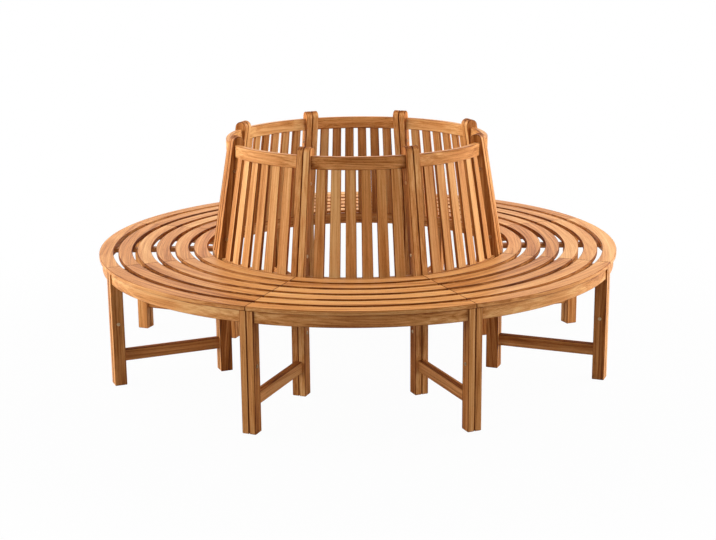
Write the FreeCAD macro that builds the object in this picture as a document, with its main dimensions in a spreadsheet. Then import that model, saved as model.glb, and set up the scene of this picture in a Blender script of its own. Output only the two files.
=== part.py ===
"""Round wooden bench that stands around a tree trunk.

Eight equal sections meet at eight seams. Each section has two outer legs, two rear legs that
go on up as leaning back posts, radial stretchers and bearers between them, a curved apron,
two curved back rails, upright back slats and curved seat slats on a middle batten. At every
seam the legs and posts of two neighbours stand side by side and are held by connector bolts.

Frame: millimetres, +Z up, the origin on the ground at the centre of the ring. The middle of
section 1 points along -Y, and seam 1 is between sections 1 and 2.
"""
import FreeCAD, Part

import math
import os

import Sketcher
from FreeCAD import Placement, Rotation, Vector

# Driving sizes in millimetres and degrees, with what each one sets.
SIZES = [
    ("section_count", 8, "equal sections around the trunk"),
    ("overall_height", 900, "ground to the top of the posts"),
    ("seat_height", 450, "ground to the top of the seat slats"),
    ("seat_radius", 1000, "centre to the outer edge of the seat"),
    ("seat_slat_count", 6, "seat slats from the edge to the back"),
    ("seat_slat_width", 53, "radial width of one seat slat"),
    ("seat_slat_gap", 19, "radial gap between two seat slats"),
    ("seat_slat_thickness", 16, "height of one seat slat"),
    ("seat_overhang", 5, "how far the outer slat stands past the outer legs"),
    ("seam_gap", 0.5, "gap between two neighbouring sections at a seam"),
    ("leg_thickness", 25, "tangential thickness of a leg or post"),
    ("leg_depth", 45, "radial depth of an outer leg"),
    ("post_depth", 46, "radial depth of a rear leg and its post"),
    ("post_clearance", 4, "gap between the inner seat slat and the posts"),
    ("lean_angle", 9.5, "lean of the back towards the trunk"),
    ("post_rise", 30, "how far the posts stand above the top rail"),
    ("apron_setback", 10, "apron face behind the outer edge of the seat"),
    ("apron_height", 44, "height of the curved apron"),
    ("apron_thickness", 22, "radial thickness of the curved apron"),
    ("rail_thickness", 22, "radial thickness of both curved back rails"),
    ("bottom_rail_lip", 4, "bottom rail face in front of the back slats"),
    ("top_rail_lip", 1, "top rail face in front of the back slats"),
    ("top_rail_height", 47, "height of the top rail"),
    ("bottom_rail_height", 44, "height of the bottom rail"),
    ("bottom_rail_drop", 4, "bottom rail top below the seat surface"),
    ("back_slat_count", 6, "back slats in one section"),
    ("back_slat_width", 40, "width of a back slat at its foot"),
    ("back_slat_top_width", 35, "width of a back slat at its head"),
    ("back_slat_thickness", 12, "radial thickness of a back slat"),
    ("back_slat_housing", 8, "length of a back slat inside each rail"),
    ("back_end_gap", 25.5, "gap between a post and the first back slat, at the foot"),
    ("bearer_height", 44, "height of a radial seat bearer"),
    ("bearer_thickness", 20, "thickness of a radial seat bearer"),
    ("batten_width", 36, "width of the middle batten under the seat"),
    ("batten_thickness", 16, "height of the middle batten"),
    ("stretcher_bottom", 90, "ground to the underside of a stretcher"),
    ("stretcher_height", 42, "height of a stretcher"),
    ("stretcher_thickness", 13, "thickness of a stretcher"),
    ("stretcher_lap", 22, "length of a stretcher let into the leg and the post"),
    ("tenon_thickness", 10, "thickness of a tenon"),
    ("tenon_shoulder", 7, "shoulder above and below a tenon"),
    ("tenon_length", 15, "length of a tenon"),
    ("fit_clearance", 0.1, "gap on each side of a fitted joint"),
    ("tenon_end_gap", 1, "gap past the end of a tenon"),
    ("bolt_height", 237, "ground to the lower connector bolts"),
    ("post_bolt_rise", 66, "lower post bolt above the seat surface"),
    ("post_bolt_drop", 51, "upper post bolt below the top rail"),
    ("bolt_head_diameter", 13, "flat head of a connector bolt or nut"),
    ("bolt_head_height", 1.5, "height of that head"),
    ("bolt_shank_diameter", 6, "shank of a connector bolt"),
    ("nut_sleeve_diameter", 8, "sleeve of a connector nut"),
    ("bolt_shank_length", 40, "shank of a connector bolt below its head"),
    ("nut_sleeve_length", 28, "sleeve of a connector nut below its head"),
    ("bolt_clearance", 0.2, "gap around a shank or sleeve"),
    ("socket_radius", 2.3, "corner radius of the six-sided key socket"),
    ("socket_depth", 1, "depth of the key socket"),
]

# Values worked out from the driving sizes. The line of the back is the middle of the posts.
DERIVED = [
    ("turn", "360 / sizes.section_count"),
    ("half_turn", "turn / 2"),
    ("frame_top", "sizes.seat_height - sizes.seat_slat_thickness"),
    ("seam_side", "sizes.seam_gap / 2"),
    ("leg_flank", "seam_side + sizes.leg_thickness"),
    ("leg_middle", "seam_side + sizes.leg_thickness / 2"),
    ("leg_face", "sizes.seat_radius - sizes.seat_overhang"),
    ("leg_back", "leg_face - sizes.leg_depth"),
    ("seat_pitch", "sizes.seat_slat_width + sizes.seat_slat_gap"),
    ("seat_inner", "sizes.seat_radius - sizes.seat_slat_count * seat_pitch + sizes.seat_slat_gap"),
    ("post_face", "seat_inner - sizes.post_clearance"),
    ("post_back", "post_face - sizes.post_depth"),
    ("post_middle", "post_face - sizes.post_depth / 2"),
    ("lean", "tan(sizes.lean_angle * 1 deg)"),
    ("apron_face", "sizes.seat_radius - sizes.apron_setback"),
    ("apron_back", "apron_face - sizes.apron_thickness"),
    ("apron_middle", "apron_face - sizes.apron_thickness / 2"),
    ("apron_bottom", "frame_top - sizes.apron_height"),
    ("bottom_rail_top", "sizes.seat_height - sizes.bottom_rail_drop"),
    ("bottom_rail_bottom", "bottom_rail_top - sizes.bottom_rail_height"),
    ("top_rail_top", "sizes.overall_height - sizes.post_rise"),
    ("top_rail_bottom", "top_rail_top - sizes.top_rail_height"),
    ("bottom_rail_face", "post_middle - (bottom_rail_top - frame_top) * lean"
                         " + sizes.back_slat_thickness / 2 + sizes.bottom_rail_lip"),
    ("bottom_rail_back", "bottom_rail_face - sizes.rail_thickness"),
    ("bottom_rail_middle", "bottom_rail_face - sizes.rail_thickness / 2"),
    ("top_rail_face", "post_middle - (top_rail_bottom - frame_top) * lean"
                      " + sizes.back_slat_thickness / 2 + sizes.top_rail_lip"),
    ("top_rail_back", "top_rail_face - sizes.rail_thickness"),
    ("top_rail_middle", "top_rail_face - sizes.rail_thickness / 2"),
    ("slat_foot", "bottom_rail_top - sizes.back_slat_housing"),
    ("slat_head", "top_rail_bottom + sizes.back_slat_housing"),
    ("slat_taper", "(sizes.back_slat_width - sizes.back_slat_top_width) / (slat_head - slat_foot)"),
    ("end_slat_angle", "half_turn - asin((leg_flank + sizes.back_end_gap"
                       " + sizes.back_slat_width / 2) / bottom_rail_middle) / 1 deg"),
    ("back_slat_turn", "2 * end_slat_angle / (sizes.back_slat_count - 1)"),
    ("post_round", "sizes.post_depth / 2 * cos(sizes.lean_angle * 1 deg)"),
    ("rail_shoulder", "leg_flank + sizes.fit_clearance"),
    ("low_post_bolt", "sizes.seat_height + sizes.post_bolt_rise"),
    ("high_post_bolt", "top_rail_bottom - sizes.post_bolt_drop"),
    ("bolt_hole_radius", "sizes.nut_sleeve_diameter / 2 + sizes.bolt_clearance"),
]

doc = FreeCAD.newDocument("tree_bench")

sheet = doc.addObject("Spreadsheet::Sheet", "sizes")
for row, (alias, value, meaning) in enumerate(SIZES, start=1):
    sheet.set(f"A{row}", meaning)
    sheet.set(f"B{row}", str(value))
    sheet.setAlias(f"B{row}", alias)

derived = doc.addObject("App::VarSet", "derived")
for name, expression in DERIVED:
    derived.addProperty("App::PropertyFloat", name, "Worked out")
    derived.setExpression(name, expression)
doc.recompute()

section_count = int(sheet.get("section_count"))
seat_slat_count = int(sheet.get("seat_slat_count"))


def value(expression):
    """The number that an expression on the sheet gives now, as a sketch's starting place."""
    result = derived.evalExpression(expression)
    return float(getattr(result, "Value", result))


def back_line(height):
    """Radius of the middle of the back at a height above the seat frame."""
    return f"(derived.post_middle - (({height}) - derived.frame_top) * derived.lean)"


def new_body(name, turn):
    """A body for one node, turned about the trunk by the angle that the expression gives."""
    body = doc.addObject("PartDesign::Body", name)
    body.Label = name
    body.AllowCompound = True
    body.Placement = Placement(Vector(0, 0, 0), Rotation(Vector(0, 0, 1), 1))
    body.setExpression("Placement.Rotation.Angle", turn)
    return body


def section_turn(number):
    """Angle of the middle of a section, whose own frame has +X along its middle."""
    return f"{number - 1} * derived.turn - 90"


def seam_turn(number):
    """Angle of a seam, whose own frame has +X along the seam."""
    return f"{number - 0.5} * derived.turn - 90"


def origin_item(body, role):
    """One of the body's own origin planes or axes."""
    return next(item for item in body.Origin.OriginFeatures if item.Role == role)


def new_sketch(body, name, plane, shift="0"):
    """An empty sketch on one of the body's own planes, shifted along that plane's normal."""
    sketch = body.newObject("Sketcher::SketchObject", name)
    sketch.AttachmentSupport = [(origin_item(body, plane), "")]
    sketch.MapMode = "FlatFace"
    sketch.setExpression("AttachmentOffset.Base.z", shift)
    return sketch


def bind(sketch, constraint, name, expression):
    """Add a constraint and bind its value to an expression."""
    index = sketch.addConstraint(constraint)
    sketch.renameConstraint(index, name)
    sketch.setExpression(f"Constraints.{name}", expression)


def pin_point(sketch, line, end, name, across, up):
    """Hold one end of a line at a place measured from the sketch's origin."""
    bind(sketch, Sketcher.Constraint("DistanceX", -1, 1, line, end, value(across)), f"{name}_x", across)
    bind(sketch, Sketcher.Constraint("DistanceY", -1, 1, line, end, value(up)), f"{name}_y", up)


def pad(body, name, sketch, length, backwards=False):
    """Raise a sketch to a solid."""
    feature = body.newObject("PartDesign::Pad", name)
    feature.Profile = sketch
    feature.Reversed = backwards
    feature.setExpression("Length", length)
    return feature


def box(body, name, kind, corner, size, turn=None):
    """A box from its low corner and its three sizes, turned about the upright through that corner."""
    feature = body.newObject(f"PartDesign::{kind}Box", name)
    for axis, place in zip("xyz", corner):
        feature.setExpression(f"Placement.Base.{axis}", place)
    for side, length in zip(("Length", "Width", "Height"), size):
        feature.setExpression(side, length)
    if turn:
        feature.Placement = Placement(Vector(0, 0, 0), Rotation(Vector(0, 0, 1), 1))
        feature.setExpression("Placement.Rotation.Angle", turn)
    return feature


def cylinder(body, name, kind, radius, along, low, high, height):
    """A cylinder along the seam's tangent, from low to high, at a radius from the trunk."""
    feature = body.newObject(f"PartDesign::{kind}Cylinder", name)
    feature.Placement = Placement(Vector(0, 0, 0), Rotation(Vector(1, 0, 0), -90))
    feature.setExpression("Placement.Base.x", along)
    feature.setExpression("Placement.Base.y", low)
    feature.setExpression("Placement.Base.z", height)
    feature.setExpression("Radius", radius)
    feature.setExpression("Height", f"({high}) - ({low})")
    return feature


def mirror_all(body, name):
    """Mirror all that the body holds so far in its upright middle plane."""
    feature = body.newObject("PartDesign::Mirrored", name)
    feature.BaseFeature = body.Tip
    feature.TransformMode = "Whole shape"
    feature.MirrorPlane = (origin_item(body, "XZ_Plane"), [""])
    body.Tip = feature


def turn_copies(body, name, count, angle, originals=None):
    """Copies about the trunk's axis: of the features given, or of all that the body holds so far."""
    feature = body.newObject("PartDesign::PolarPattern", name)
    if originals:
        feature.Originals = originals
    else:
        feature.BaseFeature = body.Tip
        feature.TransformMode = "Whole shape"
    feature.Axis = (origin_item(body, "Z_Axis"), [""])
    feature.Mode = "Spacing"
    feature.setExpression("Offset", angle)
    feature.setExpression("Occurrences", count)
    body.Tip = feature


def arc_boards(body, name, rings, end_offset, shift):
    """Outlines of curved boards between two seams, each ring given by its outer and inner radius.

    The ends are parallel to the seams, at a distance from them.
    """
    sketch = new_sketch(body, name, "XY_Plane", shift)
    half = math.radians(value("derived.half_turn"))
    offset = value(end_offset)
    for number, (outer, inner) in enumerate(rings, start=1):
        corners = []
        for radius in (value(outer), value(inner)):
            reach = math.sqrt(radius ** 2 - offset ** 2)
            across = reach * math.cos(half) + offset * math.sin(half)
            up = reach * math.sin(half) - offset * math.cos(half)
            corners.append((across, up, radius))
        arcs = []
        for across, up, radius in corners:
            end = math.atan2(up, across)
            circle = Part.Circle(Vector(0, 0, 0), Vector(0, 0, 1), radius)
            arcs.append(sketch.addGeometry(Part.ArcOfCircle(circle, -end, end)))
        (far_x, far_y, _), (near_x, near_y, _) = corners
        for arc, radius, side in zip(arcs, (outer, inner), ("outer", "inner")):
            sketch.addConstraint(Sketcher.Constraint("Coincident", arc, 3, -1, 1))
            bind(sketch, Sketcher.Constraint("Radius", arc, value(radius)), f"{side}_{number}", radius)
        for sign, arc_end, label in ((1, 2, "left"), (-1, 1, "right")):
            near = Vector(near_x, sign * near_y, 0)
            far = Vector(far_x, sign * far_y, 0)
            line = sketch.addGeometry(Part.LineSegment(near, far))
            sketch.addConstraint(Sketcher.Constraint("Coincident", line, 1, arcs[1], arc_end))
            sketch.addConstraint(Sketcher.Constraint("Coincident", line, 2, arcs[0], arc_end))
            slope = Sketcher.Constraint("Angle", line, sign * half)
            bind(sketch, slope, f"{label}_slope_{number}", f"{sign} * derived.half_turn * 1 deg")
            inset = Sketcher.Constraint("Distance", -1, 1, line, offset)
            bind(sketch, inset, f"{label}_inset_{number}", end_offset)
    return sketch


def rail_tenons(body, middle, bottom, height):
    """A tenon on both ends of a curved rail, square to the flank of the leg that it enters.

    The box starts inside the rail, as far behind the shoulder as the tenon is thick.
    """
    along = f"({middle} - sizes.tenon_thickness / 2)"
    across = "(-derived.rail_shoulder - sizes.tenon_thickness)"
    seam = "derived.half_turn * 1 deg"
    corner = (f"{along} * cos({seam}) - {across} * sin({seam})",
              f"{along} * sin({seam}) + {across} * cos({seam})",
              f"{bottom} + sizes.tenon_shoulder")
    size = ("sizes.tenon_thickness",
            "sizes.tenon_thickness + sizes.fit_clearance + sizes.tenon_length",
            f"{height} - 2 * sizes.tenon_shoulder")
    tenon = box(body, "tenon", "Additive", corner, size, "derived.half_turn")
    mirror = body.newObject("PartDesign::Mirrored", "other_tenon")
    mirror.Originals = [tenon]
    mirror.MirrorPlane = (origin_item(body, "XZ_Plane"), [""])
    body.Tip = mirror


def rail_mortise(body, name, middle, bottom, height):
    """The mortise in a leg's flank for a curved rail's tenon."""
    corner = (f"{middle} - sizes.tenon_thickness / 2 - sizes.fit_clearance",
              "derived.leg_flank - sizes.tenon_length - sizes.tenon_end_gap",
              f"{bottom} + sizes.tenon_shoulder - sizes.fit_clearance")
    size = ("sizes.tenon_thickness + 2 * sizes.fit_clearance",
            "sizes.tenon_length + 2 * sizes.tenon_end_gap",
            f"{height} - 2 * sizes.tenon_shoulder + 2 * sizes.fit_clearance")
    box(body, name, "Subtractive", corner, size)


def bearer_mortise(body, name, low_x):
    """The mortise for a bearer's tenon, open on the side that the bearer comes from."""
    corner = (low_x,
              "derived.leg_middle - sizes.tenon_thickness / 2 - sizes.fit_clearance",
              "derived.frame_top - sizes.bearer_height + sizes.tenon_shoulder - sizes.fit_clearance")
    size = ("sizes.tenon_length + 2 * sizes.tenon_end_gap",
            "sizes.tenon_thickness + 2 * sizes.fit_clearance",
            "sizes.bearer_height - 2 * sizes.tenon_shoulder + 2 * sizes.fit_clearance")
    box(body, name, "Subtractive", corner, size)


def stretcher_housing(body, name, low_x):
    """The notch in a leg's seam face that the end of a stretcher lies in."""
    corner = (low_x,
              "0",
              "sizes.stretcher_bottom - sizes.fit_clearance")
    size = ("sizes.stretcher_lap + sizes.fit_clearance",
            "derived.seam_side + sizes.stretcher_thickness + sizes.fit_clearance",
            "sizes.stretcher_height + 2 * sizes.fit_clearance")
    box(body, name, "Subtractive", corner, size)


def bolt_hole(body, name, along, height):
    """A hole across a leg for the sleeve of a connector nut."""
    cylinder(body, name, "Subtractive", "derived.bolt_hole_radius", along,
             "-derived.seam_side", "2 * derived.leg_flank", height)


def slat_wedge(body, name, kind, low, high, spare, angle):
    """A stretch of a back slat's tapering, leaning board, with spare room around it."""
    feature = body.newObject(f"PartDesign::{kind}Wedge", name)
    feature.AttachmentSupport = [(origin_item(body, "XZ_Plane"), "")]
    feature.MapMode = "FlatFace"
    feature.AttachmentOffset = Placement(Vector(0, 0, 0), Rotation(Vector(0, 1, 0), 1))
    feature.setExpression("AttachmentOffset.Rotation.Angle", angle)
    feature.setExpression("Ymin", low)
    feature.setExpression("Ymax", high)
    for height, radial, tangential in ((low, "X", "Z"), (high, "X2", "Z2")):
        thick = f"(sizes.back_slat_thickness / 2 + {spare})"
        width = (f"((sizes.back_slat_width - (({height}) - derived.slat_foot)"
                 f" * derived.slat_taper) / 2 + {spare})")
        feature.setExpression(f"{radial}min", f"{back_line(height)} - {thick}")
        feature.setExpression(f"{radial}max", f"{back_line(height)} + {thick}")
        feature.setExpression(f"{tangential}min", f"-{width}")
        feature.setExpression(f"{tangential}max", width)
    return feature


FIRST_SLAT = "-derived.end_slat_angle"

# Bolt places on a seam: the radius and the height of each.
BOLT_PLACES = [
    ("leg", "derived.leg_face - sizes.leg_depth / 2", "sizes.bolt_height"),
    ("rear_leg", "derived.post_middle", "sizes.bolt_height"),
    ("post_low", back_line("derived.low_post_bolt"), "derived.low_post_bolt"),
    ("post_high", back_line("derived.high_post_bolt"), "derived.high_post_bolt"),
]


def outer_legs(number):
    """The two outer legs that stand side by side at a seam."""
    body = new_body(f"outer_legs_{number}", seam_turn(number))
    sketch = new_sketch(body, "leg_section", "XY_Plane")
    corners = [("derived.leg_back", "derived.seam_side"), ("derived.leg_face", "derived.seam_side"),
               ("derived.leg_face", "derived.leg_flank"), ("derived.leg_back", "derived.leg_flank")]
    outline(sketch, corners)
    pad(body, "leg", sketch, "derived.frame_top")
    rail_mortise(body, "apron_mortise", "derived.apron_middle", "derived.apron_bottom",
                 "sizes.apron_height")
    bearer_mortise(body, "bearer_mortise", "derived.leg_back - sizes.tenon_end_gap")
    stretcher_housing(body, "stretcher_housing", "derived.leg_back")
    for name, along, height in BOLT_PLACES[:1]:
        bolt_hole(body, f"hole_{name}", along, height)
    mirror_all(body, "pair")
    return body


def outline(sketch, corners):
    """A closed outline of straight lines through corners held by expressions."""
    points = [Vector(value(across), value(up), 0) for across, up in corners]
    lines = [sketch.addGeometry(Part.LineSegment(points[number - 1], point))
             for number, point in enumerate(points)]
    for number, line in enumerate(lines):
        sketch.addConstraint(Sketcher.Constraint("Coincident", line, 2, lines[(number + 1) % len(lines)], 1))
        pin_point(sketch, line, 2, f"corner_{number}", *corners[number])


def post_outline(body):
    """Side view of a rear leg: upright to the seat frame, then leaning, with a half-round top."""
    sketch = new_sketch(body, "post_side", "XZ_Plane", "-derived.seam_side")
    middle_x = value(back_line("sizes.overall_height - derived.post_round"))
    middle_z = value("sizes.overall_height - derived.post_round")
    radius = value("derived.post_round")
    lean = math.radians(value("sizes.lean_angle"))
    across = Vector(math.cos(lean) * radius, math.sin(lean) * radius, 0)
    middle = Vector(middle_x, middle_z, 0)
    foot_front = Vector(value("derived.post_face"), 0, 0)
    bend_front = Vector(value("derived.post_face"), value("derived.frame_top"), 0)
    bend_back = Vector(value("derived.post_back"), value("derived.frame_top"), 0)
    foot_back = Vector(value("derived.post_back"), 0, 0)
    front = sketch.addGeometry(Part.LineSegment(foot_front, bend_front))
    front_lean = sketch.addGeometry(Part.LineSegment(bend_front, middle + across))
    circle = Part.Circle(middle, Vector(0, 0, 1), radius)
    top = sketch.addGeometry(Part.ArcOfCircle(circle, lean, lean + math.pi))
    back_lean = sketch.addGeometry(Part.LineSegment(middle - across, bend_back))
    back = sketch.addGeometry(Part.LineSegment(bend_back, foot_back))
    foot = sketch.addGeometry(Part.LineSegment(foot_back, foot_front))
    for first, second in ((front, front_lean), (back_lean, back), (back, foot), (foot, front)):
        sketch.addConstraint(Sketcher.Constraint("Coincident", first, 2, second, 1))
    sketch.addConstraint(Sketcher.Constraint("Tangent", front_lean, 2, top, 1))
    sketch.addConstraint(Sketcher.Constraint("Tangent", top, 2, back_lean, 1))
    pin_point(sketch, front, 2, "front_bend", "derived.post_face", "derived.frame_top")
    pin_point(sketch, back, 1, "back_bend", "derived.post_back", "derived.frame_top")
    pin_point(sketch, foot, 1, "back_foot", "derived.post_back", "0")
    pin_point(sketch, foot, 2, "front_foot", "derived.post_face", "0")
    bind(sketch, Sketcher.Constraint("DistanceY", -1, 1, top, 3, middle_z), "top_middle",
         "sizes.overall_height - derived.post_round")
    bind(sketch, Sketcher.Constraint("Radius", top, radius), "top_radius", "derived.post_round")
    return sketch


def rear_posts(number):
    """The two rear legs and leaning back posts that stand side by side at a seam."""
    body = new_body(f"rear_posts_{number}", seam_turn(number))
    pad(body, "post", post_outline(body), "sizes.leg_thickness", backwards=True)
    rail_mortise(body, "bottom_rail_mortise", "derived.bottom_rail_middle",
                 "derived.bottom_rail_bottom", "sizes.bottom_rail_height")
    rail_mortise(body, "top_rail_mortise", "derived.top_rail_middle",
                 "derived.top_rail_bottom", "sizes.top_rail_height")
    bearer_mortise(body, "bearer_mortise",
                   "derived.post_face - sizes.tenon_length - sizes.tenon_end_gap")
    stretcher_housing(body, "stretcher_housing",
                      "derived.post_face - sizes.stretcher_lap - sizes.fit_clearance")
    for name, along, height in BOLT_PLACES[1:]:
        bolt_hole(body, f"hole_{name}", along, height)
    mirror_all(body, "pair")
    return body


def stretchers(number):
    """The two low radial stretchers at a seam, let into the seam faces of leg and post."""
    body = new_body(f"stretchers_{number}", seam_turn(number))
    corner = ("derived.post_face - sizes.stretcher_lap", "derived.seam_side", "sizes.stretcher_bottom")
    size = ("derived.leg_back - derived.post_face + 2 * sizes.stretcher_lap",
            "sizes.stretcher_thickness", "sizes.stretcher_height")
    box(body, "stretcher", "Additive", corner, size)
    mirror_all(body, "pair")
    return body


def seat_bearers(number):
    """The two radial bearers at a seam that carry the ends of the seat slats."""
    body = new_body(f"seat_bearers_{number}", seam_turn(number))
    corner = ("derived.post_face + sizes.fit_clearance",
              "derived.leg_middle - sizes.bearer_thickness / 2",
              "derived.frame_top - sizes.bearer_height")
    size = ("derived.leg_back - derived.post_face - 2 * sizes.fit_clearance",
            "sizes.bearer_thickness", "sizes.bearer_height")
    box(body, "bearer", "Additive", corner, size)
    tenon_corner = ("derived.post_face - sizes.tenon_length",
                    "derived.leg_middle - sizes.tenon_thickness / 2",
                    "derived.frame_top - sizes.bearer_height + sizes.tenon_shoulder")
    tenon_size = ("derived.leg_back - derived.post_face + 2 * sizes.tenon_length",
                  "sizes.tenon_thickness", "sizes.bearer_height - 2 * sizes.tenon_shoulder")
    box(body, "tenons", "Additive", tenon_corner, tenon_size)
    mirror_all(body, "pair")
    return body


def seat_slats(number):
    """The curved seat slats of one section, from the outer edge to the back."""
    body = new_body(f"seat_slats_{number}", section_turn(number))
    rings = []
    for slat in range(seat_slat_count):
        outer = f"sizes.seat_radius - {slat} * derived.seat_pitch"
        rings.append((outer, f"{outer} - sizes.seat_slat_width"))
    sketch = arc_boards(body, "slat_outlines", rings, "derived.seam_side", "derived.frame_top")
    pad(body, "slats", sketch, "sizes.seat_slat_thickness")
    return body


def seat_batten(number):
    """The batten under the middle of a section's seat, from the bottom rail to the apron."""
    body = new_body(f"seat_batten_{number}", section_turn(number))
    corner = ("derived.bottom_rail_face + sizes.fit_clearance", "-sizes.batten_width / 2",
              "derived.frame_top - sizes.batten_thickness")
    reach = "sqrt(derived.apron_back * derived.apron_back - sizes.batten_width * sizes.batten_width / 4)"
    size = (f"{reach} - derived.bottom_rail_face - 2 * sizes.fit_clearance",
            "sizes.batten_width", "sizes.batten_thickness")
    box(body, "batten", "Additive", corner, size)
    return body


def back_slats(number):
    """The upright back slats of one section, fanned out about the trunk."""
    body = new_body(f"back_slats_{number}", section_turn(number))
    slat = slat_wedge(body, "slat", "Additive", "derived.slat_foot", "derived.slat_head", "0", FIRST_SLAT)
    turn_copies(body, "fan", "sizes.back_slat_count", "derived.back_slat_turn", [slat])
    return body


def back_rails(name, face, back, middle, bottom, height, housing_low, housing_high):
    """One curved back rail in each section, with a housing for every back slat."""
    body = new_body(name, section_turn(1))
    sketch = arc_boards(body, "rail_outline", [(face, back)], "derived.rail_shoulder", bottom)
    pad(body, "rail", sketch, height)
    housing = slat_wedge(body, "slat_housing", "Subtractive", housing_low, housing_high,
                         "sizes.fit_clearance", FIRST_SLAT)
    turn_copies(body, "housings", "sizes.back_slat_count", "derived.back_slat_turn", [housing])
    rail_tenons(body, middle, bottom, height)
    turn_copies(body, "ring", "sizes.section_count", "derived.turn")
    return body


def bottom_rails():
    """The rails behind the seat that the back slats stand in."""
    return back_rails("bottom_rails", "derived.bottom_rail_face", "derived.bottom_rail_back",
                      "derived.bottom_rail_middle", "derived.bottom_rail_bottom",
                      "sizes.bottom_rail_height", "derived.slat_foot - sizes.fit_clearance",
                      "derived.bottom_rail_top + sizes.back_slat_housing")


def top_rails():
    """The rails along the top of the back."""
    return back_rails("top_rails", "derived.top_rail_face", "derived.top_rail_back",
                      "derived.top_rail_middle", "derived.top_rail_bottom",
                      "sizes.top_rail_height", "derived.top_rail_bottom - sizes.back_slat_housing",
                      "derived.slat_head + sizes.fit_clearance")


def front_aprons():
    """The curved apron under the outer edge of every section's seat."""
    body = new_body("front_aprons", section_turn(1))
    sketch = arc_boards(body, "apron_outline", [("derived.apron_face", "derived.apron_back")],
                        "derived.rail_shoulder", "derived.apron_bottom")
    pad(body, "apron", sketch, "sizes.apron_height")
    rail_tenons(body, "derived.apron_middle", "derived.apron_bottom", "sizes.apron_height")
    turn_copies(body, "ring", "sizes.section_count", "derived.turn")
    return body


def key_socket(body, name, along, low, height):
    """The six-sided socket for a key in a connector's head."""
    feature = body.newObject("PartDesign::SubtractivePrism", name)
    feature.Placement = Placement(Vector(0, 0, 0), Rotation(Vector(1, 0, 0), -90))
    feature.Polygon = 6
    feature.setExpression("Placement.Base.x", along)
    feature.setExpression("Placement.Base.y", low)
    feature.setExpression("Placement.Base.z", height)
    feature.setExpression("Circumradius", "sizes.socket_radius")
    feature.setExpression("Height", "sizes.socket_depth")


def connector_bolts():
    """The connector bolts through every seam, each with its own sleeve nut."""
    body = new_body("connector_bolts", seam_turn(1))
    flank = "derived.leg_flank"
    outside = f"({flank} + sizes.bolt_head_height)"
    head = "sizes.bolt_head_diameter / 2"
    for name, along, height in BOLT_PLACES:
        cylinder(body, f"nut_head_{name}", "Additive", head, along, f"-{outside}", f"-{flank}", height)
        cylinder(body, f"sleeve_{name}", "Additive", "sizes.nut_sleeve_diameter / 2", along,
                 f"-{flank}", f"sizes.nut_sleeve_length - {flank}", height)
        cylinder(body, f"bore_{name}", "Subtractive",
                 "sizes.bolt_shank_diameter / 2 + sizes.bolt_clearance", along,
                 f"sizes.bolt_head_height - {flank}", flank, height)
        key_socket(body, f"nut_socket_{name}", along, f"-{outside}", height)
        cylinder(body, f"bolt_head_{name}", "Additive", head, along, flank, outside, height)
        cylinder(body, f"shank_{name}", "Additive", "sizes.bolt_shank_diameter / 2", along,
                 f"{flank} - sizes.bolt_shank_length", flank, height)
        key_socket(body, f"bolt_socket_{name}", along, f"{outside} - sizes.socket_depth", height)
    turn_copies(body, "ring", "sizes.section_count", "derived.turn")
    return body


bodies = []
for count in range(1, section_count + 1):
    for make in (outer_legs, rear_posts, stretchers, seat_bearers, seat_slats, seat_batten, back_slats):
        bodies.append(make(count))
for make in (front_aprons, bottom_rails, top_rails, connector_bolts):
    bodies.append(make())
doc.recompute()

failed = [item.Name for item in doc.Objects if {"Invalid", "Error"} & set(item.State)]
if failed:
    raise SystemExit(f"objects that did not recompute: {failed}")
for body in bodies:
    if body.Shape.isNull() or not body.Shape.isValid():
        raise SystemExit(f"{body.Label} has no valid shape")

os.makedirs("parts", exist_ok=True)
for body in bodies:
    body.Shape.exportStep(f"parts/{body.Label}.step")
print(f"{len(bodies)} nodes, {sum(len(body.Shape.Solids) for body in bodies)} solids")
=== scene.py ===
"""Looks of a round wooden tree bench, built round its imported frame.

Every board is modelled again at its own size with eased edges, and carries its own stretch of
grain. Two frames are used, both with +Z up and the origin on the ground under the trunk's middle:
a section's frame has +X along the middle of the section, and a seam's frame has +X along the seam.
All lengths are in metres.
"""

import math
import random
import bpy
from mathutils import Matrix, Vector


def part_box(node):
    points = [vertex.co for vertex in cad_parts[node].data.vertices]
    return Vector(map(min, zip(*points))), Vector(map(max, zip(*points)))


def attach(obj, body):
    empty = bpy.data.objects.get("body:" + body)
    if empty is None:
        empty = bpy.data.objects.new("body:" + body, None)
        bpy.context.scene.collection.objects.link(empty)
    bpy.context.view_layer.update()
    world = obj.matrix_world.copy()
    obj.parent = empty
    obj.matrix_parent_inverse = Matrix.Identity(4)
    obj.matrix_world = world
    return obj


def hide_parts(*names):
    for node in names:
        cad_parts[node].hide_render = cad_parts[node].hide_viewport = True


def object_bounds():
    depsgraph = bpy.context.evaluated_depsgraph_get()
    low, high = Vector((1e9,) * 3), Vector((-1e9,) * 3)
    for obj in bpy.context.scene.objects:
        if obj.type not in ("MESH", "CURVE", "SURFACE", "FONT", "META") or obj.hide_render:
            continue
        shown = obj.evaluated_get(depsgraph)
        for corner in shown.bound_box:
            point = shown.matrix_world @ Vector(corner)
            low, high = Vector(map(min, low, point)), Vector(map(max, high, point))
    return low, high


bl_info = {
    "name": "Tree bench",
    "version": (1, 0, 0),
    "blender": (4, 5, 0),
    "location": "View3D > Sidebar > Tree bench",
    "description": "Oiled boards, connector bolts and a pale studio for a round tree bench",
    "category": "Object",
}

import bmesh
import bpy
from bpy.props import FloatProperty, FloatVectorProperty, IntProperty, PointerProperty
from mathutils import Matrix, Vector

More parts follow.
